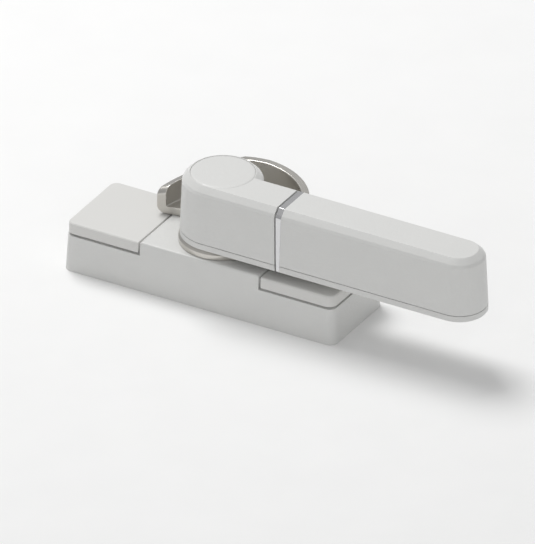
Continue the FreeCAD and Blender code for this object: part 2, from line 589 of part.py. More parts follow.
def grip_outline(sketch):
    """The arm's width from inside the collar to a far end with two rounded corners."""
    near = -SIZES["head_r"]
    far = SIZES["arm_width"] + near
    start = SIZES["collar_end"] - SIZES["stock"]
    end = SIZES["grip_end"]
    round_r = mm(GRIP_ROUND)
    vector = FreeCAD.Vector
    up = vector(0, 0, 1)

    def corner(y, low, high):
        """A quarter round at the far end."""
        full = Part.Circle(vector(end - round_r, y, 0), up, round_r)
        return Part.ArcOfCircle(full, low, high)

    pieces = [
        Part.LineSegment(vector(start, near, 0), vector(end - round_r, near, 0)),
        corner(near + round_r, -math.pi / 2, 0),
        Part.LineSegment(vector(end, near + round_r, 0), vector(end, far - round_r, 0)),
        corner(far - round_r, 0, math.pi / 2),
        Part.LineSegment(vector(end - round_r, far, 0), vector(start, far, 0)),
        Part.LineSegment(vector(start, far, 0), vector(start, near, 0)),
    ]
    for piece in pieces:
        sketch.addGeometry(piece, False)
    for k in range(4):
        sketch.addConstraint(Sketcher.Constraint("Tangent", k, 2, k + 1, 1))
    sketch.addConstraint(Sketcher.Constraint("Coincident", 4, 2, 5, 1))
    sketch.addConstraint(Sketcher.Constraint("Coincident", 5, 2, 0, 1))
    sketch.addConstraint(Sketcher.Constraint("Equal", 1, 3))
    bound = sketch.addConstraint(Sketcher.Constraint("Radius", 1, round_r))
    sketch.renameConstraint(bound, "round")
    sketch.setExpression("Constraints.round", GRIP_ROUND)
    for line, kind in ((0, "Horizontal"), (2, "Vertical"), (4, "Horizontal"), (5, "Vertical")):
        sketch.addConstraint(Sketcher.Constraint(kind, line))
    hold(sketch, "DistanceX", 0, 1, "Sizes.collar_end - Sizes.stock")
    hold(sketch, "DistanceY", 0, 1, "-Sizes.head_r")
    hold(sketch, "DistanceX", 2, 1, "Sizes.grip_end")
    hold(sketch, "DistanceY", 4, 2, ARM_FAR_Y)


def trim_x(body, name, foot_x, lean, sign):
    """Cut away what lies past a steep plane: before it with sign -1, after it with sign 1."""
    sketch = sketch_on(body, name, "XZ_Plane")
    climb = f"({lean}) * Sizes.over / Sizes.handle_height"
    low = f"({HANDLE_Z} - Sizes.over)"
    high = f"({HANDLE_TOP_Z} + Sizes.over)"
    far = f"{foot_x} + ({sign}) * Sizes.far"
    corners(sketch, [(f"{foot_x} - {climb}", low), (far, low), (far, high),
                     (f"{foot_x} + ({lean}) + {climb}", high)])
    pocket(body, sketch, "4 * Sizes.arm_width", both=True)


def handle_arm():
    """Head and arm in one casting, with the tang that carries the grip."""
    body = new_body("handle_arm")

    def outline(sketch):
        """The head's circle with the arm leaving at its near side."""
        head = SIZES["head_r"]
        far = SIZES["arm_width"] - head
        meet = math.sqrt(head ** 2 - far ** 2)
        end = SIZES["arm_end"] + SIZES["stock"]
        vector = FreeCAD.Vector
        arc = Part.ArcOfCircle(Part.Circle(vector(0, 0, 0), vector(0, 0, 1), head),
                               math.atan2(far, meet), 1.5 * math.pi)
        sketch.addGeometry(arc, False)
        sketch.addGeometry(Part.LineSegment(vector(0, -head, 0), vector(end, -head, 0)), False)
        sketch.addGeometry(Part.LineSegment(vector(end, -head, 0), vector(end, far, 0)), False)
        sketch.addGeometry(Part.LineSegment(vector(end, far, 0), vector(meet, far, 0)), False)
        for start, following in ((0, 1), (1, 2), (2, 3)):
            sketch.addConstraint(Sketcher.Constraint("Coincident", start, 2, following, 1))
        sketch.addConstraint(Sketcher.Constraint("Coincident", 3, 2, 0, 1))
        sketch.addConstraint(Sketcher.Constraint("Coincident", 0, 3, -1, 1))
        bound = sketch.addConstraint(Sketcher.Constraint("Radius", 0, head))
        sketch.renameConstraint(bound, "head")
        sketch.setExpression("Constraints.head", "Sizes.head_r")
        sketch.addConstraint(Sketcher.Constraint("Vertical", 2))
        sketch.addConstraint(Sketcher.Constraint("Horizontal", 3))
        hold(sketch, "DistanceX", 0, 2, "0")
        hold(sketch, "DistanceY", 1, 2, "-Sizes.head_r")
        hold(sketch, "DistanceX", 1, 2, "Sizes.arm_end + Sizes.stock")
        hold(sketch, "DistanceY", 3, 1, ARM_FAR_Y)

    end = SIZES["arm_end"]
    crowned(body, outline, lambda edge: not beyond(edge, "x", end))
    trim_x(body, "arm_end", "Sizes.arm_end", "-Sizes.arm_lean", 1)

    tang_half = "(Sizes.tang_width / 2)"
    tang = sketch_on(body, "tang", "YZ_Plane", "Sizes.tang_root")
    rectangle(tang, f"{ARM_MID_Y} - {tang_half}", f"{ARM_MID_Y} + {tang_half}",
              TANG_Z, f"{TANG_Z} + Sizes.tang_height")
    pad(body, tang, "Sizes.tang_end - Sizes.tang_root")
    boss_low = "(Sizes.grip_screw_x - Sizes.tang_boss / 2)"
    boss_high = "(Sizes.grip_screw_x + Sizes.tang_boss / 2)"
    for name, side, near in (("rear_panels", "+", False), ("near_panels", "-", True)):
        panels = sketch_on(body, name, "XZ_Plane", f"-({ARM_MID_Y} {side} Sizes.tang_web / 2)")
        for low, high in (("Sizes.collar_end + Sizes.tang_flange", boss_low),
                          (boss_high, "Sizes.tang_end - Sizes.tang_flange")):
            rectangle(panels, low, high, f"{TANG_Z} + Sizes.tang_flange",
                      f"{TANG_Z} + Sizes.tang_height - Sizes.tang_flange")
        pocket(body, panels, "Sizes.tang_width", upwards=near)
    screw = sketch_on(body, "grip_screw_hole", lift=HANDLE_Z)
    circle(screw, "Sizes.grip_screw_r + Sizes.pin_fit", "Sizes.grip_screw_x", ARM_MID_Y)
    pocket(body, screw, "Sizes.grip_screw_length + Sizes.thread_spare + Sizes.grip_screw_sink",
           upwards=True)

    well = sketch_on(body, "well", lift=HANDLE_TOP_Z)
    circle(well, "Sizes.head_well_r")
    pocket(body, well, "Sizes.handle_height - Sizes.head_floor")
    seat = sketch_on(body, "cap_seat", lift=HANDLE_TOP_Z)
    circle(seat, "Sizes.cap_r + Sizes.cap_fit")
    pocket(body, seat, "Sizes.cap_thick - Sizes.cap_proud")
    square = sketch_on(body, "square", lift=HANDLE_Z)
    half = "(Sizes.square + Sizes.square_fit) / 2"
    rectangle(square, f"-{half}", half, f"-{half}", half)
    pocket(body, square, "Sizes.head_floor + Sizes.over", upwards=True)
    dowels = sketch_on(body, "dowel_holes", lift=HANDLE_Z)
    dowel_holes(dowels, "Sizes.dowel_r + Sizes.pin_fit")
    pocket(body, dowels, f"{DOWEL_Z} + Sizes.dowel_length + Sizes.dowel_spare - {HANDLE_Z}",
           upwards=True)


def tang_socket(body, low_x, high_x):
    """Cut the tang's clearance hole along X."""
    reach = "(Sizes.tang_width / 2 + Sizes.tang_fit)"
    sketch = sketch_on(body, "socket", "YZ_Plane", low_x)
    rectangle(sketch, f"{ARM_MID_Y} - {reach}", f"{ARM_MID_Y} + {reach}",
              f"{TANG_Z} - Sizes.tang_fit", f"{TANG_Z} + Sizes.tang_height + Sizes.tang_fit")
    pocket(body, sketch, f"{high_x} - ({low_x})", upwards=True)


def handle_collar():
    """Thin ring between the arm and the grip."""
    body = new_body("handle_collar")
    low_x = "Sizes.arm_end - Sizes.stock"
    high_x = "Sizes.collar_end + Sizes.stock"
    crowned(body, bar_outline(low_x, high_x), lambda edge: edge.BoundBox.XLength > SIZES["over"])
    trim_x(body, "start", "Sizes.arm_end + Sizes.groove", "-Sizes.arm_lean", -1)
    trim_x(body, "end", "Sizes.collar_end", "Sizes.collar_lean", 1)
    tang_socket(body, low_x, high_x)


def handle_grip():
    """Sleeve over the tang, with a rounded end."""
    body = new_body("handle_grip")
    crowned(body, grip_outline, lambda edge: edge.BoundBox.XMax > SIZES["collar_end"])
    trim_x(body, "start", "Sizes.collar_end", "Sizes.collar_lean", -1)
    tang_socket(body, "Sizes.collar_end - Sizes.stock", "Sizes.tang_end + Sizes.tang_spare")
    hole = sketch_on(body, "screw_hole", lift=HANDLE_Z)
    circle(hole, "Sizes.grip_screw_r + Sizes.screw_clear", "Sizes.grip_screw_x", ARM_MID_Y)
    pocket(body, hole, "Sizes.tang_rise + Sizes.over", upwards=True)
    sink = sketch_on(body, "screw_sink", lift=HANDLE_Z)
    circle(sink, "Sizes.grip_screw_head_r + Sizes.screw_clear", "Sizes.grip_screw_x", ARM_MID_Y)
    pocket(body, sink, "Sizes.grip_screw_sink", upwards=True)


def grip_screw():
    """Screw from below, through the grip into the tang."""
    body = new_body("grip_screw")
    seat = f"({HANDLE_Z} + Sizes.grip_screw_sink)"
    head = sketch_on(body, "head", lift=f"{seat} - Sizes.grip_screw_head")
    circle(head, "Sizes.grip_screw_head_r", "Sizes.grip_screw_x", ARM_MID_Y)
    pad(body, head, "Sizes.grip_screw_head")
    shank = sketch_on(body, "shank", lift=seat)
    circle(shank, "Sizes.grip_screw_r", "Sizes.grip_screw_x", ARM_MID_Y)
    pad(body, shank, "Sizes.grip_screw_length")
    cross_recess(body, f"{seat} - Sizes.grip_screw_head", "Sizes.grip_screw_x", ARM_MID_Y, True)


def cross_recess(body, face, x, y, upwards):
    """Two crossed slots in a screw's head."""
    arm = "Sizes.head_screw_r"
    half = "Sizes.recess_width / 2"
    for name, across, along in (("slot_a", arm, half), ("slot_b", half, arm)):
        sketch = sketch_on(body, name, lift=face)
        rectangle(sketch, f"{x} - {across}", f"{x} + {across}", f"{y} - {along}", f"{y} + {along}")
        pocket(body, sketch, "Sizes.recess_depth", upwards=upwards)


def pivot_cap():
    """Round cap that hides the head screw, with a ring that snaps into the well."""
    body = new_body("pivot_cap")
    section = sketch_on(body, "section", "XZ_Plane")
    top = f"({HANDLE_TOP_Z} + Sizes.cap_proud)"
    ring_r = "(Sizes.head_well_r - Sizes.cap_ring_fit)"
    corners(section, [("0", CAP_SEAT_Z), (f"{ring_r} - Sizes.cap_ring", CAP_SEAT_Z),
                      (f"{ring_r} - Sizes.cap_ring", f"{CAP_SEAT_Z} - Sizes.cap_ring_drop"),
                      (ring_r, f"{CAP_SEAT_Z} - Sizes.cap_ring_drop"), (ring_r, CAP_SEAT_Z),
                      ("Sizes.cap_r", CAP_SEAT_Z), ("Sizes.cap_r", f"{top} - Sizes.cap_bevel"),
                      ("Sizes.cap_r - Sizes.cap_bevel", top), ("0", top)])
    turned(body, section)


def head_washer():
    ring("head_washer", "Sizes.head_screw_r + Sizes.screw_clear", "Sizes.head_washer_r",
         HEAD_FLOOR_Z, "Sizes.head_washer")


def head_spring_washer():
    """Split washer under the head screw."""
    body = ring("head_spring_washer", "Sizes.head_screw_r + Sizes.screw_clear",
                "Sizes.spring_washer_r", CLAMP_Z, "Sizes.spring_washer")
    slit = sketch_on(body, "slit", lift=SCREW_HEAD_Z)
    rectangle(slit, "0", "Sizes.spring_washer_r + Sizes.over", "-Sizes.spring_washer_slit / 2",
              "Sizes.spring_washer_slit / 2")
    pocket(body, slit, "2 * Sizes.spring_washer")


def head_screw():
    """Screw that clamps the head and the crescent down on the spindle."""
    body = new_body("head_screw")
    head = sketch_on(body, "head", lift=SCREW_HEAD_Z)
    circle(head, "Sizes.head_screw_head_r")
    pad(body, head, "Sizes.head_screw_head")
    shank = sketch_on(body, "shank", lift=f"{HEAD_FLOOR_Z} - Sizes.head_screw_length")
    circle(shank, "Sizes.head_screw_r")
    pad(body, shank, f"Sizes.head_screw_length + {SCREW_HEAD_Z} - {HEAD_FLOOR_Z}")
    cross_recess(body, f"{SCREW_HEAD_Z} + Sizes.head_screw_head", "0", "0", False)


def drive_dowels():
    """Two dowels that turn the crescent with the head."""
    parts = []
    for name, y in zip(("dowel_a", "dowel_b"), both_sides(DOWEL_Y)):
        dowel = doc.addObject("Part::Cylinder", name)
        dowel.setExpression("Radius", "Sizes.dowel_r")
        dowel.setExpression("Height", "Sizes.dowel_length")
        dowel.setExpression("Placement.Base.x", DOWEL_X)
        dowel.setExpression("Placement.Base.y", y)
        dowel.setExpression("Placement.Base.z", DOWEL_Z)
        parts.append(dowel)
    pair = doc.addObject("Part::Compound", "drive_dowels")
    pair.Links = parts
    pair.Label = "drive_dowels"
    return pair


base_housing()
end_cover("left_end_cover", 180)
end_cover("right_end_cover", 0)
thrust_washer()
lower_washer()
stop_pin()
detent_spring("detent_spring_front", "-")
detent_spring("detent_spring_rear", "")
pivot_spindle()
detent_cam()
disc_spring()
retaining_ring()
crescent_hook()
handle_arm()
handle_collar()
handle_grip()
grip_screw()
pivot_cap()
head_washer()
head_spring_washer()
head_screw()
dowels = drive_dowels()
doc.recompute()

nodes = [item for item in doc.Objects if item.TypeId == "PartDesign::Body"] + [dowels]
for item in doc.Objects:
    if "Invalid" in item.State or "Error" in item.State:
        raise SystemExit(f"{item.Label} failed: {item.State}")
for node in nodes:
    if node.Shape.isNull() or not node.Shape.isValid():
        raise SystemExit(f"{node.Label} has no valid shape")

os.makedirs("parts", exist_ok=True)
for node in nodes:
    node.Shape.exportStep(f"parts/{node.Label}.step")
    box = node.Shape.BoundBox
    print(f"{node.Label}: {len(node.Shape.Solids)} solids, {node.Shape.Volume:.1f} mm3, "
          f"z {box.ZMin:.2f} to {box.ZMax:.2f}")
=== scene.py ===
"""Sliding window lock: a crescent on a long handle, over a cast base with two clip-on covers."""

import json
import math

import bmesh
import bpy
import numpy as np
from mathutils import Matrix, Vector

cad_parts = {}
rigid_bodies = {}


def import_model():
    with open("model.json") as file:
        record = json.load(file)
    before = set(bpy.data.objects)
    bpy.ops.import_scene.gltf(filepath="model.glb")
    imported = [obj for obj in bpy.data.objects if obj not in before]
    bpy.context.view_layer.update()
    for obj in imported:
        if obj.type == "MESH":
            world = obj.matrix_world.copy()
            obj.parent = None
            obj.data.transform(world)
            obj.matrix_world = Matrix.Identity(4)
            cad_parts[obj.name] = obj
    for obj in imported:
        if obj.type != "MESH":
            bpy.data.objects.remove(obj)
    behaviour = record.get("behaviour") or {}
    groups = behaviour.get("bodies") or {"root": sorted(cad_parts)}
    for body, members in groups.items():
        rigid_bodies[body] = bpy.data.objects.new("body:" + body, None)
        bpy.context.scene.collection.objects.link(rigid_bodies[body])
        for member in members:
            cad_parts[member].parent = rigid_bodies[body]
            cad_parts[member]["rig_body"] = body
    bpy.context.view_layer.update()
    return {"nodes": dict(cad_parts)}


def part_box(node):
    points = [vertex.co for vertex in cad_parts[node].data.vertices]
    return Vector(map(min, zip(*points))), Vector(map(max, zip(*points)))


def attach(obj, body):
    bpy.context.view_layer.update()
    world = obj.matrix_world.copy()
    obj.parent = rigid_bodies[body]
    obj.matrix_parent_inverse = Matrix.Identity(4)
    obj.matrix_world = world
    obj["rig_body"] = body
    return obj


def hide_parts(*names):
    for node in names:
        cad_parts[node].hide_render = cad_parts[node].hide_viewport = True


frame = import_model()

nodes = frame["nodes"]


# Camera. The lock is seen as a draughtsman draws it: a parallel view, 30 degrees round from the
# front and 30 degrees down, at 0.30 mm to a pixel, with the spindle's foot left of the middle.
PIXEL = 0.0003
PICTURE_HEIGHT = 544
MIDDLE_RIGHT = 44.5
MIDDLE_UP = 14.4
DISTANCE = 1.5

view_data = bpy.data.cameras.new("view")
view_data.type = "ORTHO"
view_data.ortho_scale = PICTURE_HEIGHT * PIXEL
view_data.clip_end = 5.0
view = bpy.data.objects.new("view", view_data)
bpy.context.scene.collection.objects.link(view)
bpy.context.scene.camera = view

turn = math.radians(30)
view_back = Vector((math.sin(turn) * math.cos(turn), -math.cos(turn) ** 2, math.sin(turn)))
view_right = Vector((math.cos(turn), math.sin(turn), 0))
view_up = view_back.cross(view_right)
view.matrix_world = Matrix((view_right, view_up, view_back)).transposed().to_4x4()
view.location = (view_right * MIDDLE_RIGHT * PIXEL + view_up * MIDDLE_UP * PIXEL
                 + view_back * DISTANCE)


# Studio. A pale matt table top under the lock, a large soft lamp high on the left and a weaker one
# on the right, in an even pale room that is a little darker low down, so that metal has shape. Up
# to the horizon the room is as pale as the table, which seems to go on.
class Wire:
    """One output socket of a finish, which can be added to, multiplied and so on."""

    def __init__(self, finish, socket):
        self.finish = finish
        self.socket = socket

    def math(self, operation, *values):
        return self.finish.node("ShaderNodeMath", {"operation": operation}, dict(enumerate(values)))

    def __add__(self, other):
        return self.math("ADD", self, other)

    def __sub__(self, other):
        return self.math("SUBTRACT", self, other)

    def __rsub__(self, other):
        return self.math("SUBTRACT", other, self)

    def __mul__(self, other):
        return self.math("MULTIPLY", self, other)

    def root(self):
        return self.math("SQRT", self)

    __radd__ = __add__
    __rmul__ = __mul__


class Finish:
    """A material, or the room's own light, and the nodes that make it."""

    def __init__(self, holder, kind, settings):
        holder.use_nodes = True
        self.holder = holder
        self.tree = holder.node_tree
        self.tree.nodes.clear()
        outputs = {"ShaderNodeBackground": "ShaderNodeOutputWorld"}
        self.shader = self.tree.nodes.new(kind)
        self.set_sockets(self.shader, settings)
        output = self.tree.nodes.new(outputs.get(kind, "ShaderNodeOutputMaterial"))
        self.tree.links.new(self.shader.outputs[0], output.inputs["Surface"])

    def set_sockets(self, node, values):
        """Give each named or numbered socket its value, or a link to another node."""
        for key, value in values.items():
            if isinstance(value, Wire):
                self.tree.links.new(value.socket, node.inputs[key])
            else:
                node.inputs[key].default_value = value

    def node(self, kind, settings, values, output=0):
        """One node: its type, its settings, then what goes into its sockets."""
        made = self.tree.nodes.new(kind)
        for name, value in settings.items():
            setattr(made, name, value)
        self.set_sockets(made, values)
        return Wire(self, made.outputs[output])

    def place(self):
        """Where a point is on the lock, in metres."""
        return self.node("ShaderNodeTexCoord", {}, {}, "Object")

    def axes(self, vector):
        """A vector's three numbers."""
        return [self.node("ShaderNodeSeparateXYZ", {}, {0: vector}, axis) for axis in range(3)]

    def noise(self, size, place=None, detail=2.0, roughness=0.5):
        """Cloudy noise about 0.5, whose blotches are about size metres across."""
        return self.node("ShaderNodeTexNoise", {}, {
            "Vector": place or self.place(), "Scale": 1 / size, "Detail": detail,
            "Roughness": roughness})

    def rise(self, value, low, high, first=0.0):
        """A share that is first up to low, climbs evenly and is 1 from high on."""
        return self.node("ShaderNodeMapRange", {}, {0: value, 1: low, 2: high, 3: first})

    def blend(self, share, first, second):
        """A colour between two, by share."""
        return self.node("ShaderNodeMix", {"data_type": "RGBA"}, {0: share, 6: first, 7: second}, 2)

    def bump(self, height, depth):
        """A surface raised by height times depth metres."""
        return self.node("ShaderNodeBump", {}, {"Height": height, "Distance": depth})


def material(name, settings):
    return Finish(bpy.data.materials.new(name), "ShaderNodeBsdfPrincipled", settings)


LOCK_MIDDLE = Vector((0.02, 0, 0.02))
LOW_WALL = (0.62, 0.63, 0.65, 1)
HIGH_WALL = (1.0, 1.0, 1.0, 1)
FAR_TABLE = (1.76, 1.76, 1.755, 1)
TABLE_HALF = 1.5


def soft_lamp(name, spot, size, power):
    """A square lamp that looks at the lock's middle."""
    data = bpy.data.lights.new(name, "AREA")
    data.shape = "SQUARE"
    data.size = size
    data.energy = power
    lamp = bpy.data.objects.new(name, data)
    lamp.location = spot
    towards = LOCK_MIDDLE - lamp.location
    lamp.rotation_euler = towards.to_track_quat("-Z", "Y").to_euler()
    bpy.context.scene.collection.objects.link(lamp)


bpy.context.scene.view_settings.view_transform = "Standard"
room = bpy.data.worlds.new("room")
bpy.context.scene.world = room
air = Finish(room, "ShaderNodeBackground", {"Strength": 0.5})
height = air.axes(air.node("ShaderNodeTexCoord", {}, {}, "Generated"))[2]
walls = air.blend(air.rise(height, -0.3, 0.9), LOW_WALL, HIGH_WALL)
above_horizon = air.rise(height, 0.01, 0.03)
air.set_sockets(air.shader, {"Color": air.blend(above_horizon, FAR_TABLE, walls)})
soft_lamp("main lamp", (-0.42, 0.22, 0.95), size=0.5, power=7.0)
soft_lamp("side lamp", (0.55, -0.75, 0.5), size=0.6, power=1.2)

table_top = material("table_top", {"Roughness": 0.85, "Specular IOR Level": 0.2})
mottle = table_top.noise(0.02)
table_top.set_sockets(table_top.shader, {
    "Base Color": table_top.blend(mottle, (0.88, 0.88, 0.875, 1), (0.91, 0.91, 0.905, 1))})
corners = [(across * TABLE_HALF, along * TABLE_HALF, 0)
           for across, along in ((-1, -1), (1, -1), (1, 1), (-1, 1))]
sheet = bpy.data.meshes.new("table")
sheet.from_pydata(corners, [], [(0, 1, 2, 3)])
table = bpy.data.objects.new("table", sheet)
sheet.materials.append(table_top.holder)
bpy.context.scene.collection.objects.link(table)


# Base casting. A zinc die casting, hollow underneath, with a raised block in the middle that
# carries the spindle and a lower plinth at each end for a cover. Barrel finishing has broken its
# edges, and it is powder coated in satin white, with the faint orange peel of a baked coat.
SATIN_WHITE = (0.70, 0.70, 0.685)
SEAM_HALF_WIDTH = 0.00011


def powder_coat(name, tone, part_line=None):
    """Satin paint: slow clouds in its colour, orange peel about 1 mm across, and fine grain.

    A casting's two dies leave a faint line all round at the height part_line.
    """
    finish = material(name, {"Specular IOR Level": 0.45})
    place = finish.place()
    peel = finish.noise(0.0011, place, detail=1.0)
    relief = peel + 0.25 * finish.noise(0.00022, place, detail=0.0)
    cloud = finish.noise(0.012, place)
    if part_line:
        height = finish.axes(place)[2]
        seam = (finish.rise(height, part_line - SEAM_HALF_WIDTH, part_line)
                - finish.rise(height, part_line, part_line + SEAM_HALF_WIDTH))
        relief = relief - 5.0 * seam
        cloud = cloud - 0.8 * seam
    darker = [0.955 * level for level in tone]
    finish.set_sockets(finish.shader, {
        "Base Color": finish.blend(cloud, (*darker, 1), (*tone, 1)),
        "Roughness": 0.30 + 0.12 * peel,
        "Normal": finish.bump(relief, 0.00008)})
    return finish.holder


def stand_for(node, mesh, finish):
    """Put a finished mesh in a CAD node's place, on its body and with its material slot."""
    mesh.materials.append(finish)
    mesh.shade_smooth()
    piece = bpy.data.objects.new(mesh.name, mesh)
    bpy.context.scene.collection.objects.link(piece)
    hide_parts(node)
    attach(piece, nodes[node]["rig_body"])
    return piece


def keep_flats(piece):
    """Shade large flats as flat right up to the rounds beside them."""
    shading = piece.modifiers.new("flats", "WEIGHTED_NORMAL")
    shading.mode = "FACE_AREA"
    shading.weight = 100
    shading.keep_sharp = True


def narrower(edge):
    """How far the narrower of the faces beside an edge reaches from it, square to it."""
    start = edge.verts[0].co
    line = (edge.verts[1].co - start).normalized()
    return min(max((vertex.co - start).cross(line).length for vertex in face.verts)
               for face in edge.link_faces)


# Points nearer than WELD become one, faces that meet at less than FLAT degrees become one face,
# and edges that turn by more than SHARP degrees, with ROOM times the radius beside them, are eased.
WELD = 0.000002
FLAT = 0.4
SHARP = 20
ROOM = 2.1


def eased(node, finish, radius):
    """The CAD node's own shape with its sharp edges rounded, as tumbling does.

    Inner edges stay as they are, and so do those with no room for a round.
    """
    shape = bmesh.new()
    shape.from_mesh(nodes[node].data)
    bmesh.ops.remove_doubles(shape, verts=shape.verts, dist=WELD)
    bmesh.ops.dissolve_limit(shape, angle_limit=math.radians(FLAT), verts=shape.verts,
                             edges=shape.edges)
    weight = shape.edges.layers.float.new("bevel_weight_edge")
    for edge in shape.edges:
        turns = edge.calc_face_angle(0) > math.radians(SHARP)
        if turns and edge.is_convex and narrower(edge) > ROOM * radius:
            edge[weight] = 1.0
    mesh = bpy.data.meshes.new(node + "_eased")
    shape.to_mesh(mesh)
    shape.free()
    piece = stand_for(node, mesh, finish)
    edges = piece.modifiers.new("broken_edges", "BEVEL")
    edges.width = radius
    edges.segments = 2
    edges.limit_method = "WEIGHT"
    edges.use_clamp_overlap = False
    keep_flats(piece)


eased("base_housing", powder_coat("base_coat", SATIN_WHITE), radius=0.00009)


# End covers. Two clip-on lids moulded in plastic to match the casting, which hide the fixing
# screws. Their skin is a touch warmer than the coat, and finely sparked by the mould.
def moulded(name, tone, rough):
    """Plastic: a fine spark-eroded grain, and flow clouds that hardly show."""
    finish = material(name, {"Specular IOR Level": 0.5})
    place = finish.place()
    flow = finish.noise(0.018, place, detail=1.0)
    spark = finish.noise(0.0004, place, detail=3.0, roughness=0.7)
    darker = [0.975 * level for level in tone]
    finish.set_sockets(finish.shader, {
        "Base Color": finish.blend(flow, (*darker, 1), (*tone, 1)),
        "Roughness": rough - 0.04 + 0.08 * spark,
        "Normal": finish.bump(spark, 0.000015)})
    return finish.holder


white_plastic = moulded("white_plastic", (0.69, 0.685, 0.665), 0.42)
for side in ("left_end_cover", "right_end_cover"):
    eased(side, white_plastic, radius=0.0001)


# Crescent. Cast in zinc, polished and satin nickel plated: a hub under the handle's head, a floor,
# and an upright wall whose leading half draws in and ramps down, so that it pulls the keeper home.
# The wall is lapped along the arc, and the ramp is buffed brighter, so that the keeper slides.
HOOK = {
    "foot": 0.01665, "hub": 0.0134, "hub_bevel": 0.0009, "square": 0.0035, "floor": 0.01908,
    "wall_in": 0.02358, "wall_out": 0.026, "wall_top": 0.0313, "under_round": 0.0023,
    "inner_round": 0.0005, "crest_round": 0.0003, "lead_round": 0.0024,
    "ease_start": 0.0014, "ease_length": 0.0081, "ease_drop": 0.0006, "ramp": 18.3,
    "tail_y": 0.0048, "lead_x": 0.02, "lead_y": 0.0047, "lead_tilt": 10.0,
    "pull_in": 0.00105, "pull_out": 0.0007, "edge": 0.0002,
}


# In a skin, points nearer than TOUCH are one, and faces that meet at more than CREASE degrees keep
# a sharp edge between them.
TOUCH = 0.0000001
CREASE = 40


def shell(name, rings, joined=False):
    """A closed skin through rings, an array of ring x point x 3, with quads between neighbours.

    The last ring is joined to the first, or else each end is closed by one flat face. Points that
    meet become one, and the faces are then turned outwards.
    """
    count, around = rings.shape[:2]
    spot = np.arange(count * around).reshape(count, around)
    near = spot if joined else spot[:-1]
    far = np.roll(spot, -1, 0)[:len(near)]
    quads = np.stack([near, np.roll(near, -1, 1), np.roll(far, -1, 1), far], -1)
    faces = quads.reshape(-1, 4).tolist()
    if not joined:
        faces += [spot[0].tolist(), spot[-1].tolist()]
    mesh = bpy.data.meshes.new(name)
    mesh.from_pydata(rings.reshape(-1, 3).tolist(), [], faces)
    shape = bmesh.new()
    shape.from_mesh(mesh)
    bmesh.ops.remove_doubles(shape, verts=shape.verts, dist=TOUCH)
    bmesh.ops.recalc_face_normals(shape, faces=shape.faces)
    shape.to_mesh(mesh)
    shape.free()
    return mesh


def arc(centre, radius, low, high, count):
    """Points on a circle between two angles in degrees, an array of point x 2."""
    angle = np.radians(np.linspace(low, high, count))
    return np.array(centre) + radius * np.stack([np.cos(angle), np.sin(angle)], -1)


def crescent_wall():
    """The wall and the floor: one section of radius and height, carried round the spindle.

    Each point of the section runs from the tail's end, where y is tail_y, to the leading end's
    tilted line. Past the back it keeps to a smaller circle, pulled in by pull. Its height follows
    the ramp, a function of x, and drops to a round at the leading end. Within edge of either end
    the section shrinks along its own normals as a quarter circle does, so the ends are rounded off,
    and the rings stand closer together there.
    """
    h = HOOK
    flank = h["under_round"]
    lip = h["crest_round"]
    section = np.concatenate([
        [(h["hub"] - h["hub_bevel"], h["foot"])],
        arc((h["wall_out"] - flank, h["foot"] + flank), flank, -90, 0, 12),
        arc((h["wall_out"] - lip, h["wall_top"] - lip), lip, 0, 90, 5),
        arc((h["wall_in"] + lip, h["wall_top"] - lip), lip, 90, 180, 5),
        arc((h["wall_in"] - h["inner_round"], h["floor"] + h["inner_round"]), -h["inner_round"],
            180, 90, 5),
        [(h["hub"] - h["hub_bevel"], h["floor"])]])
    pull = np.interp(section[:, 0], [h["hub"], h["wall_in"], h["wall_out"]],
                     [0, h["pull_in"], h["pull_out"]])
    top = section[:, 1] > h["wall_top"] - 2 * lip

    near_tail = 0.01 * np.linspace(0, 1, 7) ** 2
    between = np.linspace(0.01, 0.9, 89)[1:]
    near_lead = 1 - 0.1 * np.linspace(1, 0, 28)[1:] ** 2
    along = np.concatenate([near_tail, between, near_lead])[:, None]
    from_end = np.minimum(along, 1 - along) * math.pi * h["wall_in"]
    inset = h["edge"] - np.sqrt(h["edge"] ** 2 - np.clip(h["edge"] - from_end, 0, None) ** 2)
    out, up = np.gradient(section, axis=0).T
    step = np.hypot(out, up)
    radius = section[:, 0] - inset * up / step
    level = section[:, 1] + inset * out / step

    tilt = math.radians(h["lead_tilt"])
    line = h["lead_y"] + h["lead_x"] * math.tan(tilt)
    start = np.arcsin(h["tail_y"] / radius)
    end = math.pi - np.arcsin((line - pull) * math.cos(tilt) / (radius - pull)) + tilt
    angle = start + along * (end - start)
    trailing = angle < math.pi / 2
    reach = np.where(trailing, radius, radius - pull)
    x = reach * np.cos(angle)
    y = reach * np.sin(angle) + np.where(trailing, 0, pull)

    before_ease = np.clip(h["ease_start"] - x, 0, h["ease_length"])
    past_ease = np.clip(h["ease_start"] - h["ease_length"] - x, 0, None)
    drop = (h["ease_drop"] * before_ease / h["ease_length"]
            + past_ease * math.tan(math.radians(h["ramp"])))
    to_end = (y - line - x * math.tan(tilt)) * math.cos(tilt)
    short = np.where(trailing, 0, np.clip(h["lead_round"] - to_end, 0, h["lead_round"]))
    drop = drop + h["lead_round"] - np.sqrt(h["lead_round"] ** 2 - short ** 2)
    return np.stack([x, y, level - top * drop], -1)


def crescent_hub():
    """The hub: a section carried once round the spindle.

    Its inner side follows the spindle's square, so the radius there is half the square's width
    over the larger of the angle's cosine and sine.
    """
    h = HOOK
    turn = np.linspace(0, 2 * math.pi, 96, endpoint=False)
    hole = h["square"] / np.maximum(abs(np.cos(turn)), abs(np.sin(turn)))
    rim = h["hub"] + 0 * turn
    flat = h["hub"] - h["hub_bevel"] + 0 * turn
    radius = np.stack([hole, rim, rim, flat, hole], -1)
    level = np.array([h["foot"], h["foot"], h["floor"] - h["hub_bevel"], h["floor"], h["floor"]])
    return np.stack([radius * np.cos(turn)[:, None], radius * np.sin(turn)[:, None],
                     level + 0 * radius], -1)


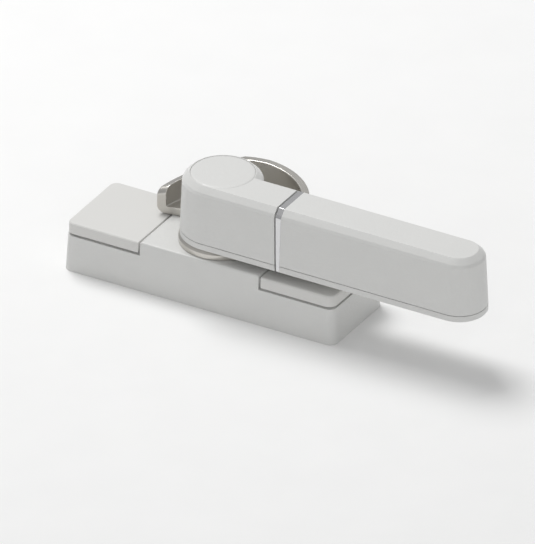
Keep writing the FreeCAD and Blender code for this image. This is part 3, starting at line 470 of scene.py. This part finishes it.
def lapped(name, tone, rough, buffed_above=None):
    """Plated metal with fine level lines: noise drawn out along x and y.

    Faces that look up, above the height buffed_above, are buffed brighter in streaks that run the
    way that the keeper slides.
    """
    finish = material(name, {"Metallic": 1.0})
    place = finish.place()
    x, y, z = finish.axes(place)
    radius = (x * x + y * y).root()
    run = finish.node("ShaderNodeCombineXYZ", {}, {0: 0.02 * x, 1: 0.2 * radius, 2: z})
    lines = finish.noise(0.00016, run, detail=3.0)
    smudge = finish.noise(0.007, place)
    roughness = rough - 0.06 + 0.07 * lines + 0.06 * smudge
    relief = lines
    darker = [0.9 * level for level in tone]
    colour = finish.blend(smudge, (*darker, 1), (*tone, 1))
    if buffed_above:
        upward = finish.axes(finish.node("ShaderNodeNewGeometry", {}, {}, "Normal"))[2]
        facing = finish.rise(upward, 0.8, 0.98)
        high = finish.rise(z, buffed_above, buffed_above + 0.001)
        rings = finish.node("ShaderNodeCombineXYZ", {}, {0: 0.05 * x, 1: radius, 2: 0.05 * z})
        streaks = finish.noise(0.00035, rings, detail=4.0, roughness=0.7)
        buff = facing * high * finish.rise(streaks, 0.35, 0.6, first=0.25)
        brighter = [min(1.22 * level, 1) for level in tone]
        colour = finish.blend(buff, colour, (*brighter, 1))
        roughness = roughness - 0.09 * buff
        relief = relief - 1.5 * buff
    finish.set_sockets(finish.shader, {
        "Base Color": colour, "Roughness": roughness, "Normal": finish.bump(relief, 0.000006)})
    return finish.holder


hook_mesh = shell("crescent_hook_lapped", crescent_wall())
hub_mesh = shell("crescent_hub", crescent_hub(), joined=True)
joined_hook = bmesh.new()
joined_hook.from_mesh(hook_mesh)
joined_hook.from_mesh(hub_mesh)
joined_hook.to_mesh(hook_mesh)
joined_hook.free()
hook_mesh.set_sharp_from_angle(angle=math.radians(CREASE))
satin_nickel = lapped("satin_nickel", (0.65, 0.63, 0.59), 0.30, buffed_above=0.0225)
keep_flats(stand_for("crescent_hook", hook_mesh, satin_nickel))


# Handle. The head and the arm are one casting, coated as the base is. The grip is a sleeve that a
# screw from below holds on the arm's tang. Both show their dies' parting line above the foot.
handle_coat = powder_coat("handle_coat", SATIN_WHITE, part_line=0.0211)
eased("handle_arm", handle_coat, radius=0.00007)
eased("handle_grip", handle_coat, radius=0.00009)


# Collar. A thin drawn ring of anodised aluminium between the arm and the grip, brushed lengthwise.
eased("handle_collar", lapped("satin_trim", (0.72, 0.72, 0.73), 0.24), radius=0.00012)


# Cap. A turned disc, coated with the head, that snaps in over the head screw. It is crowned by a
# tenth of a millimetre, as the square of the radius, so that it doesn't look hollow.
CAP_TOP = 0.0398
CAP_SEAT = 0.03865
CAP_R = 0.00992
CAP_RING = (0.0057, 0.0065, 0.03665)
CAP_CROWN = 0.00012
CAP_RIM = 0.0004


def turned(profile, count):
    """A profile of radius and height turned about the spindle's axis, ring by ring."""
    angle = np.linspace(0, 2 * math.pi, count, endpoint=False)
    radius, level = np.array(profile).T
    return np.stack([radius[:, None] * np.cos(angle), radius[:, None] * np.sin(angle),
                     level[:, None] + 0 * angle], -1)


inner, outer, foot = CAP_RING
crown = np.linspace(CAP_R - CAP_RIM, 0, 14)
dome = np.stack([crown, CAP_TOP - CAP_CROWN * (crown / CAP_R) ** 2], -1)
rim = arc((CAP_R - CAP_RIM, CAP_TOP - CAP_CROWN - CAP_RIM), CAP_RIM, 0, 86, 7)
under = [(0, CAP_SEAT), (inner, CAP_SEAT), (inner, foot), (outer, foot), (outer, CAP_SEAT),
         (CAP_R, CAP_SEAT)]
cap_mesh = shell("pivot_cap_crowned", turned(np.concatenate([under, rim, dome]), 128))
cap_mesh.set_sharp_from_angle(angle=math.radians(CREASE))
stand_for("pivot_cap", cap_mesh, handle_coat)


# Inner steel. The spindle and the cam are turned and milled, the washers stamped, all zinc plated,
# with their edges broken in the barrel. The springs and the open ring are oiled spring steel.
def dress(node, finish):
    """Give a CAD node its finish in every slot."""
    held = nodes[node].data.materials
    held.clear()
    held.append(finish)


zinc = lapped("zinc_plate", (0.62, 0.62, 0.63), 0.36)
spring = lapped("spring_steel", (0.40, 0.40, 0.41), 0.40)
for node in ("detent_cam", "lower_washer"):
    eased(node, zinc, radius=0.00012)
eased("retaining_ring", spring, radius=0.00006)
for node in ("pivot_spindle", "stop_pin", "head_washer", "drive_dowels"):
    dress(node, zinc)
for node in ("detent_spring_front", "detent_spring_rear", "disc_spring", "head_spring_washer"):
    dress(node, spring)
dress("thrust_washer", moulded("nylon", (0.80, 0.79, 0.73), 0.5))


# Screws. Zinc plated machine screws with rolled threads and a cross recess punched in the head:
# one from below through the grip into the tang, and one under the cap into the spindle.
SLOT = 0.0006
SLOT_REACH = 0.002
SLOT_DEPTH = 0.001
HEAD_ROUND = 0.00035
HAIR = 0.000006
THREAD_DEPTH = 0.58
THREAD_CREASE = 45
RINGS_TO_A_PITCH = 8


def cross_screw(node, shank, head, head_height, pitch, head_up):
    """A screw as one grid of rings round its axis, from the middle of the head to the tip.

    On the head each ring has seven points to an arm of the cross, the outer two up on the land and
    the inner five down in the slot, at the angle whose sine is half the slot's width over the
    radius. On the shank the radius is a wave of height less the share of a turn, in pitches.
    """
    low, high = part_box(node)
    middle = (np.array(low) + np.array(high))[:2] / 2
    length = high[2] - low[2]

    corner = SLOT / math.sqrt(2)
    flat = np.concatenate([[0, 0.6 * corner, corner, corner + HAIR],
                           np.linspace(corner + 0.0003, SLOT_REACH, 4), [SLOT_REACH + HAIR],
                           np.linspace(SLOT_REACH + HAIR, head - HEAD_ROUND, 3)[1:]])
    rim = arc((head - HEAD_ROUND, -HEAD_ROUND), HEAD_ROUND, 90, 0, 6)[1:]
    radius = np.concatenate([flat, rim[:, 0], [head]])[:, None]
    depth = np.concatenate([0 * flat, -rim[:, 1], [head_height]])[:, None]

    side = np.arcsin(np.clip(SLOT / 2 / np.maximum(radius, HAIR), 0, math.sin(math.pi / 4)))
    land = side + HAIR / np.maximum(radius, SLOT) * (radius > corner)
    gap = np.linspace(0, 1, 9)[1:-1]
    quarter = np.concatenate([-land, side * np.linspace(-1, 1, 5), land,
                              land + gap * (math.pi / 2 - 2 * land)], 1)
    sunk = np.isin(np.arange(quarter.shape[1]), range(1, 6)) | (radius <= corner)
    floor = SLOT_DEPTH * (1 - 0.5 * radius / SLOT_REACH) * (radius <= SLOT_REACH)
    depth = np.tile(depth + np.where(sunk, floor, 0), 4)
    angle = np.concatenate([quarter + turn * math.pi / 2 for turn in range(4)], 1)

    count = int(RINGS_TO_A_PITCH * (length - head_height) / pitch)
    down = np.linspace(head_height, length, count)[:, None]
    round_angle = np.linspace(0, 2 * math.pi, angle.shape[1], endpoint=False) + 0 * down
    height = high[2] - down if head_up else low[2] + down
    thread = 0.5 + 0.5 * np.cos(2 * math.pi * height / pitch - round_angle)
    thread = np.maximum(thread, np.clip((down - length + pitch) / pitch, 0, 1))
    thread = thread * np.clip((down - head_height) / pitch, 0, 1)
    radius = np.concatenate([radius + 0 * angle, shank - THREAD_DEPTH * pitch * thread])
    angle = np.concatenate([angle, round_angle])
    depth = np.concatenate([depth, down + 0 * round_angle])
    height = high[2] - depth if head_up else low[2] + depth
    rings = np.stack([middle[0] + radius * np.cos(angle), middle[1] + radius * np.sin(angle),
                      height], -1)
    mesh = shell(node + "_threaded", rings)
    mesh.set_sharp_from_angle(angle=math.radians(THREAD_CREASE))
    keep_flats(stand_for(node, mesh, zinc))


cross_screw("grip_screw", shank=0.0015, head=0.0028, head_height=0.0015, pitch=0.0005,
            head_up=False)
cross_screw("head_screw", shank=0.002, head=0.0035, head_height=0.0026, pitch=0.0007,
            head_up=True)
